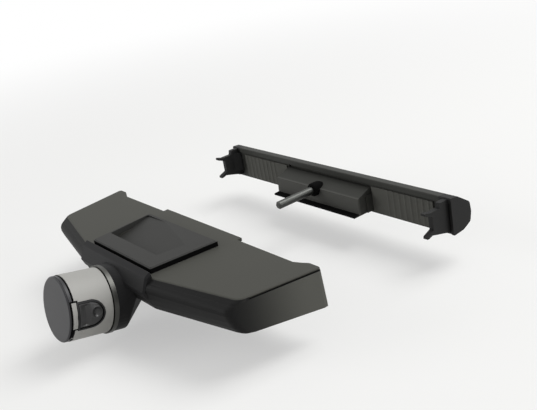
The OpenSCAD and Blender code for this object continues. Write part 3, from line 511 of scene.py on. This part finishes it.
def skinned(rings, wrap=False):
    bm = bmesh.new()
    add_skin(bm, rings, wrap)
    return bm


def revolved(profile, start=0, stop=FULL_TURN):
    """A profile of (radius, height) points swept round +Z, in degrees."""
    wrap = stop - start == FULL_TURN
    steps = max(FEWEST_STEPS, round((stop - start) / TURN_STEP))
    count = steps if wrap else steps + 1
    turns = [math.radians(start + (stop - start) * i / steps) for i in range(count)]
    rings = [[(r * math.cos(t), r * math.sin(t), z) for r, z in profile] for t in turns]
    return skinned(rings, wrap)


def eased(share):
    """0 to 1 with a soft start and end."""
    return share * share * (3 - 2 * share)


# Shadow lines where the socket's turned pieces meet, and round the cap's tab.
# Along the socket: Z from the cap's face inwards, X to the button's side, Y downwards.

SOCKET_TILT = math.radians(12.45)
SOCKET_LENGTH = 24.6
FLANGE_Y, FLANGE_Z = -69.7, -6.7
SOCKET = (
    Matrix.Translation((0, FLANGE_Y, FLANGE_Z))
    @ Matrix.Rotation(-math.pi / 2 - SOCKET_TILT, 4, "X")
    @ Matrix.Translation((0, 0, -SOCKET_LENGTH))
)
SEAM_EDGE = 0.06
TAB_RADIUS, TAB_DEPTH = SLEEVE_RADIUS + 0.08, 0.63
# name, body, outer radius, depth, from and to along the socket, degrees from and to
SEAMS = [
    ("cap_edge_line", "end_cap", CAP_RADIUS + 0.04, 0.44, 0.7, 0.98, 0, FULL_TURN),
    ("cap_seat_line", "end_cap", CAP_RADIUS + 0.1, 0.5, 2.55, 3.28, 48, 331),
    ("sleeve_seat_line", "rear_unit", SLEEVE_RADIUS + 0.15, 0.5, 24.2, 24.58, 0, FULL_TURN),
    ("tab_edge_line", "rear_unit", TAB_RADIUS, TAB_DEPTH, 1.06, 1.75, -27, 46),
    ("tab_top_line", "rear_unit", TAB_RADIUS, TAB_DEPTH, 1.06, 5.3, -28.6, -26),
    ("tab_low_line", "rear_unit", TAB_RADIUS, TAB_DEPTH, 1.06, 5.3, 20.5, 23),
    ("tab_low_patch", "rear_unit", TAB_RADIUS, TAB_DEPTH, 1.06, 2.9, 22, 42),
]


def band(inner, outer, low, high):
    """Profile of a flat band with eased outer edges."""
    return [
        (inner, low), (outer - SEAM_EDGE, low), (outer, low + SEAM_EDGE),
        (outer, high - SEAM_EDGE), (outer - SEAM_EDGE, high), (inner, high),
    ]


def make_seams(material):
    for name, body, outer, depth, low, high, start, stop in SEAMS:
        line = revolved(band(outer - depth, outer, low, high), start, stop)
        add_piece(name, line, material, body, SOCKET)


# Collar that seals the rod where it enters the bar's block, and a near-black strip over the
# block's lip that is painted shade on its unlit face

# radius, and Y from the block's front edge
GROMMET_PROFILE = [
    (2.56, 6.4), (2.9, 6.3), (3.6, 5.3), (4.15, 3.6), (4.3, 2.0),
    (4.3, -1.7), (4.1, -2.2), (3.7, -2.6), (3.3, -2.8), (2.56, -2.85),
]
# Y from the block's front edge, and Z
LIP_PROFILE = [
    (-4.0, -10.35), (-4.0, -9.3), (0.1, -9.03), (0.1, -9.5), (-3.5, -9.85), (-3.5, -10.35),
]
LIP_OVERHANG, LIP_EDGE = 0.05, 0.08


def make_grommet(material):
    """Swept round the rod, which runs along Y."""
    profile = [(radius, -BLOCK_FRONT_Y - y) for radius, y in GROMMET_PROFILE]
    add_piece("rod_grommet", revolved(profile), material, "clamp_bar",
              Matrix.Rotation(math.pi / 2, 4, "X"))


def make_block_lip(material):
    half = BLOCK_HALF + LIP_OVERHANG
    rings = [[(x, BLOCK_FRONT_Y + y, z) for y, z in LIP_PROFILE] for x in (-half, half)]
    piece = add_piece("block_lip", skinned(rings), material, "clamp_bar")
    ease_edges(piece, LIP_EDGE, TRIM_ANGLE)


# Release button: a D outline along the socket, with a ramp, a step and a finger dish.
# A point has its place s along the socket and t across it, downwards.

BUTTON_START, BUTTON_CENTRE, BUTTON_HALF = 5.4, 11.9, 6.7
BUTTON_END = BUTTON_CENTRE + BUTTON_HALF
BUTTON_RADIUS, BUTTON_EDGE, BUTTON_TIP_HALF = 17.62, 0.6, 0.02
BUTTON_ROWS, BUTTON_COLUMNS = 72, 60
RAMP_END, STEP_END, RAMP_DEPTH = 9.3, 12.1, 1.3
RAMP_FADE = 1.2
DISH_PLACE, DISH_SIDE, DISH_RADIUS, DISH_DEPTH = 15.0, -0.7, 2.7, 1.5
DISH_RIM, DISH_RIM_WIDTH = 0.25, 0.5


def ramp_depth(s):
    if s < RAMP_END:
        return RAMP_DEPTH * (s - BUTTON_START) / (RAMP_END - BUTTON_START)
    if s < STEP_END:
        return RAMP_DEPTH * (1 - eased((s - RAMP_END) / (STEP_END - RAMP_END)))
    return 0


def dish_depth(s, t):
    """A round dish with a raised ring about it."""
    reach = math.hypot(s - DISH_PLACE, t - DISH_SIDE)
    depth = -DISH_RIM * math.exp(-((reach - DISH_RADIUS) / DISH_RIM_WIDTH) ** 2)
    if reach < DISH_RADIUS:
        depth += DISH_DEPTH * (1 - (reach / DISH_RADIUS) ** 2)
    return depth


def edge_depth(rim):
    """A rounded edge, at the way rim from the outline."""
    share = 1 - min(1, rim / BUTTON_EDGE)
    return BUTTON_EDGE * (1 - math.sqrt(1 - share * share))


def button_depth(s, t, rim):
    """How far the button's face lies under its turned surface; rim is the way to its outline."""
    inset = eased(min(1, max(0, rim - BUTTON_EDGE) / RAMP_FADE))
    return ramp_depth(s) * inset + dish_depth(s, t) + edge_depth(rim)


def button_ring(s):
    """The button cut across at s: its face, then its floor back again."""
    past = max(0, s - BUTTON_CENTRE)
    half = math.sqrt(max(BUTTON_TIP_HALF ** 2, BUTTON_HALF ** 2 - past ** 2))
    face, floor = [], []
    for j in range(BUTTON_COLUMNS + 1):
        t = -half * math.cos(math.pi * j / BUTTON_COLUMNS)
        if s > BUTTON_CENTRE:
            rim = BUTTON_HALF - math.hypot(past, t)
        else:
            rim = min(s - BUTTON_START, BUTTON_HALF - abs(t))
        x = math.sqrt(BUTTON_RADIUS ** 2 - t * t) - button_depth(s, t, max(0, rim))
        face.append((x, t, s))
        floor.append((BUTTON_BASE, t, s))
    return face + floor[::-1]


def make_button(material):
    """Its rows lie closer together towards the round end."""
    reach = BUTTON_END - BUTTON_START
    rings = [
        button_ring(BUTTON_START + reach * math.sin(math.pi / 2 * i / BUTTON_ROWS))
        for i in range(BUTTON_ROWS + 1)
    ]
    piece = add_piece(
        "button_face", skinned(rings), material, "release_button", SOCKET
    )
    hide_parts("release_button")


# Release slide: a near-black band under its panel's edge, painted shadow

SLIDE_FRONT_HALF, SLIDE_BACK_HALF, SLIDE_EDGE = 33.0, 36.5, 0.7
SHADOW_BAND_LIFT = 0.18
SHADOW_BAND_PROUD, SHADOW_BAND_FRONT_PROUD, SHADOW_BAND_INSET, SHADOW_BAND_EDGE = 0.07, 0.02, 0.5, 0.06


def slide_corners(front_grow, grow):
    """The slide's corners, moved out by front_grow at its front and by grow elsewhere."""
    front, back = SLIDE_FRONT_HALF + grow, SLIDE_BACK_HALF + grow
    front_y, back_y = SLIDE_LOW.y - front_grow, SLIDE_HIGH.y + grow
    return [(-front, front_y), (front, front_y), (back, back_y), (-back, back_y)]


def make_slide_shadow(material):
    low, high = LID_HIGH.z + SHADOW_BAND_LIFT, SLIDE_HIGH.z - SLIDE_EDGE
    outside = slide_corners(SHADOW_BAND_FRONT_PROUD, SHADOW_BAND_PROUD)
    inside = slide_corners(-SHADOW_BAND_INSET, -SHADOW_BAND_INSET)
    rings = [
        [(*outer, low), (*outer, high), (*inner, high), (*inner, low)]
        for outer, inner in zip(outside, inside)
    ]
    piece = add_piece("slide_painted_shadow", skinned(rings, wrap=True), material, "release_slide")
    ease_edges(piece, SHADOW_BAND_EDGE, TRIM_ANGLE)


# Fillets between the lid's front edge and the shell

NOSE_HALF, NOSE_Y, NOSE_BULGE = 36.5, LID_LOW.y, LID_LOW.y - SHELL_LOW.y
CORNER_HALF, CORNER_Y, CORNER_BULGE = 96.5, -41.0, 6.2
BACK_HALF, BACK_Y = SHELL_HIGH.x, SHELL_HIGH.y
CORNER_RADIUS, CORNER_STEPS = 5.0, 14
FILLET_FROM_X, FILLET_STEPS = 33.5, 8
# bulge shares and heights, from the shell's front up to the lid's front edge
FILLET_PROFILE = [
    (-0.35, 8.0), (0.3, 8.0), (0.5, 8.06), (0.47, 8.3), (0.4, 8.62), (0.29, 9.0),
    (0.17, 9.35), (0.07, 9.65), (0.015, 9.85), (-0.35, 9.8),
]


def corner_arc(before, corner, after):
    """Points of a rounded corner, from its start to its end."""
    one = (before - corner).normalized()
    two = (after - corner).normalized()
    half = math.acos(one.dot(two)) / 2
    centre = corner + (one + two).normalized() * CORNER_RADIUS / math.sin(half)
    start = corner + one * CORNER_RADIUS / math.tan(half) - centre
    end = corner + two * CORNER_RADIUS / math.tan(half) - centre
    turn = start.angle(end)
    points = []
    for k in range(CORNER_STEPS + 1):
        share = k / CORNER_STEPS
        reach = start * math.sin((1 - share) * turn) + end * math.sin(share * turn)
        points.append(centre + reach / math.sin(turn))
    return points


def fillet_line(bulge):
    """Half of the shell's front outline at a bulge share, from the nose to the end face."""
    slope = (BACK_HALF - CORNER_HALF) / (BACK_Y - CORNER_Y)
    corner_x = CORNER_HALF - slope * bulge * CORNER_BULGE
    nose = Vector((NOSE_HALF, NOSE_Y - bulge * NOSE_BULGE, 0))
    corner = Vector((corner_x, CORNER_Y - bulge * CORNER_BULGE, 0))
    back = Vector((BACK_HALF, BACK_Y, 0))
    arc = corner_arc(nose, corner, back)
    start = nose + (corner - nose) * (FILLET_FROM_X - NOSE_HALF) / (CORNER_HALF - NOSE_HALF)
    return [start.lerp(arc[0], k / FILLET_STEPS) for k in range(FILLET_STEPS)] + arc


def make_front_fillets(material):
    lines = [fillet_line(bulge) for bulge, _ in FILLET_PROFILE]
    heights = [height for _, height in FILLET_PROFILE]
    for side, name in ((1, "front_fillet_right"), (-1, "front_fillet_left")):
        rings = [
            [(side * point.x, point.y, height) for point, height in zip(places, heights)]
            for places in zip(*lines)
        ]
        add_piece(name, skinned(rings), material, "rear_unit")


# Bar pads: a thin sheet with soft upright ribs

PAD_SHEET, PAD_EDGE = 1.0, 0.3
RIB_START, RIB_END, RIB_PITCH = 14.2, 3.0, 4.6
RIB_HALF, RIB_HEIGHT, RIB_STEPS = 1.3, 0.45, 10


def rib_line(place, front):
    """One rib, seen from above."""
    shares = [2 * k / RIB_STEPS - 1 for k in range(RIB_STEPS + 1)]
    return [
        (place + share * RIB_HALF, front - RIB_HEIGHT * math.cos(share * math.pi / 2) ** 2)
        for share in shares
    ]


def pad_outline(inner, outer, back):
    """A pad seen from above, between its ends nearer to and farther from the middle."""
    front = back - PAD_SHEET
    first, last = inner + RIB_START, outer - RIB_END
    gaps = round((last - first) / RIB_PITCH)
    line = [(inner, front)]
    for k in range(gaps + 1):
        line += rib_line(first + (last - first) * k / gaps, front)
    return line + [(outer, front), (outer, back), (inner, back)]


def make_bar_pads(material):
    for side, name in ((-1, "bar_pad_left"), (1, "bar_pad_right")):
        low, high = box_in_mm(name)
        inner, outer = sorted((abs(low.x), abs(high.x)))
        outline = pad_outline(inner, outer, high.y)
        rings = [[(side * x, y, z) for x, y in outline] for z in (low.z, high.z)]
        piece = add_piece(name + "_soft", skinned(rings), material, "clamp_bar")
        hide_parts(name)
        ease_edges(piece, PAD_EDGE, PAD_ANGLE)


# Housing screws with cross recesses, seen from below

# X and Y of those on the right, which the left ones mirror
SCREW_PLACES = [(86.07, -29.93), (52.1, -43.05), (58.35, -17.22)]
SCREW_RADIUS, SCREW_TOP = 1.25, 7.84
HEAD_RADIUS, HEAD_HEIGHT, HEAD_DOME = 2.7, 1.8, 0.35
HEAD_RINGS, HEAD_TURNS = 18, 56
# the recess has its full depth up to the first size, and ends at the second
CROSS_HALF, CROSS_REACH, CROSS_DEPTH = (0.3, 0.5), (1.4, 1.7), 0.9


def falling(value, full, none):
    """1 up to full, 0 from none on."""
    return min(1, max(0, (none - value) / (none - full)))


def head_height(x, y):
    """The domed head's underside with its cross recess."""
    height = HEAD_LOW + HEAD_DOME * (math.hypot(x, y) / HEAD_RADIUS) ** 3
    arms = [
        falling(across, *CROSS_HALF) * falling(along, *CROSS_REACH)
        for across, along in ((abs(x), abs(y)), (abs(y), abs(x)))
    ]
    return height + CROSS_DEPTH * max(arms)


def screw_rings(x, y):
    """Rings round one screw: out over its head, in at the seat and up the shank."""
    turns = [math.tau * k / HEAD_TURNS for k in range(HEAD_TURNS)]
    rings = []
    for i in range(1, HEAD_RINGS + 1):
        radius = HEAD_RADIUS * i / HEAD_RINGS
        spots = [(radius * math.cos(t), radius * math.sin(t)) for t in turns]
        rings.append([(x + u, y + v, head_height(u, v)) for u, v in spots])
    seat = HEAD_LOW + HEAD_HEIGHT
    for radius, z in ((HEAD_RADIUS, seat), (SCREW_RADIUS, seat), (SCREW_RADIUS, SCREW_TOP)):
        rings.append([(x + radius * math.cos(t), y + radius * math.sin(t), z) for t in turns])
    return rings


def make_screws(material):
    bm = bmesh.new()
    for x, y in SCREW_PLACES:
        add_skin(bm, screw_rings(x, y))
        add_skin(bm, screw_rings(-x, y))
    piece = add_piece("cross_screws", bm, material, "rear_unit")
    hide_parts("housing_screws")


scene.view_settings.view_transform = "Standard"
make_camera()
make_floor()
make_world()
make_lights()
materials = make_materials()
dress_nodes(materials)
make_seams(materials["shadow"])
make_grommet(materials["shadow"])
make_button(materials["button"])
# painted shadow under the slide panel's edge
make_slide_shadow(materials["shadow"])
# painted shade on the block's lip
make_block_lip(materials["shadow"])
make_front_fillets(materials["housing"])
make_bar_pads(materials["pad"])
make_screws(materials["steel"])
